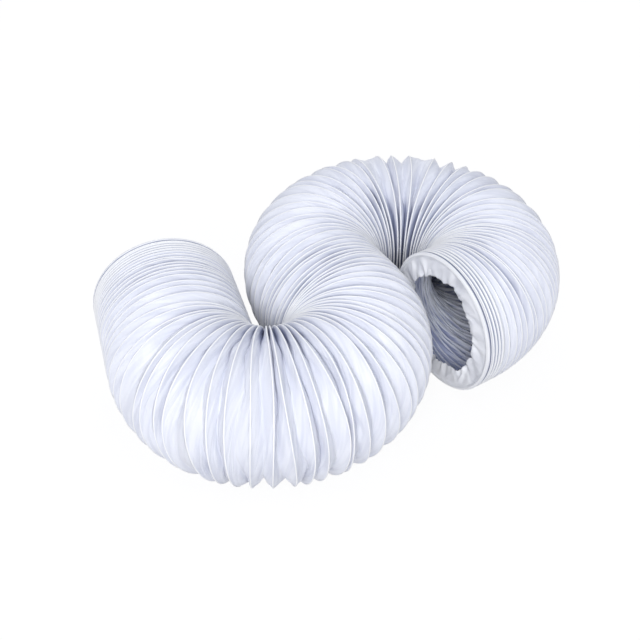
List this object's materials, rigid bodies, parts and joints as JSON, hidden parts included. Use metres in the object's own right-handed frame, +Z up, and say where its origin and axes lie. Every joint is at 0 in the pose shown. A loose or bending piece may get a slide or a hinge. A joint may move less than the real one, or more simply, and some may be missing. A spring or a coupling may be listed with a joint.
{
  "type": "flexible pvc duct",
  "caption": "Bent length of flexible pleated PVC duct with a laminated wire helix, pushed together in an S, with a plain round cuff at each end.",
  "frame": {"origin": "on the floor, under the middle of the duct's box", "axes": "+Z up, +Y out of the left mouth, +X along the longest side of the lay"},
  "size_m": [0.3557, 0.2928, 0.106],
  "materials": {
    "pvc_film": "thin white film, satin",
    "cuff_film": "thin white film, doubled, satin"
  },
  "bodies": {
    "root": {"pleated_sleeve": "pvc_film", "left_cuff": "cuff_film", "right_cuff": "cuff_film"}
  },
  "joints": []
}
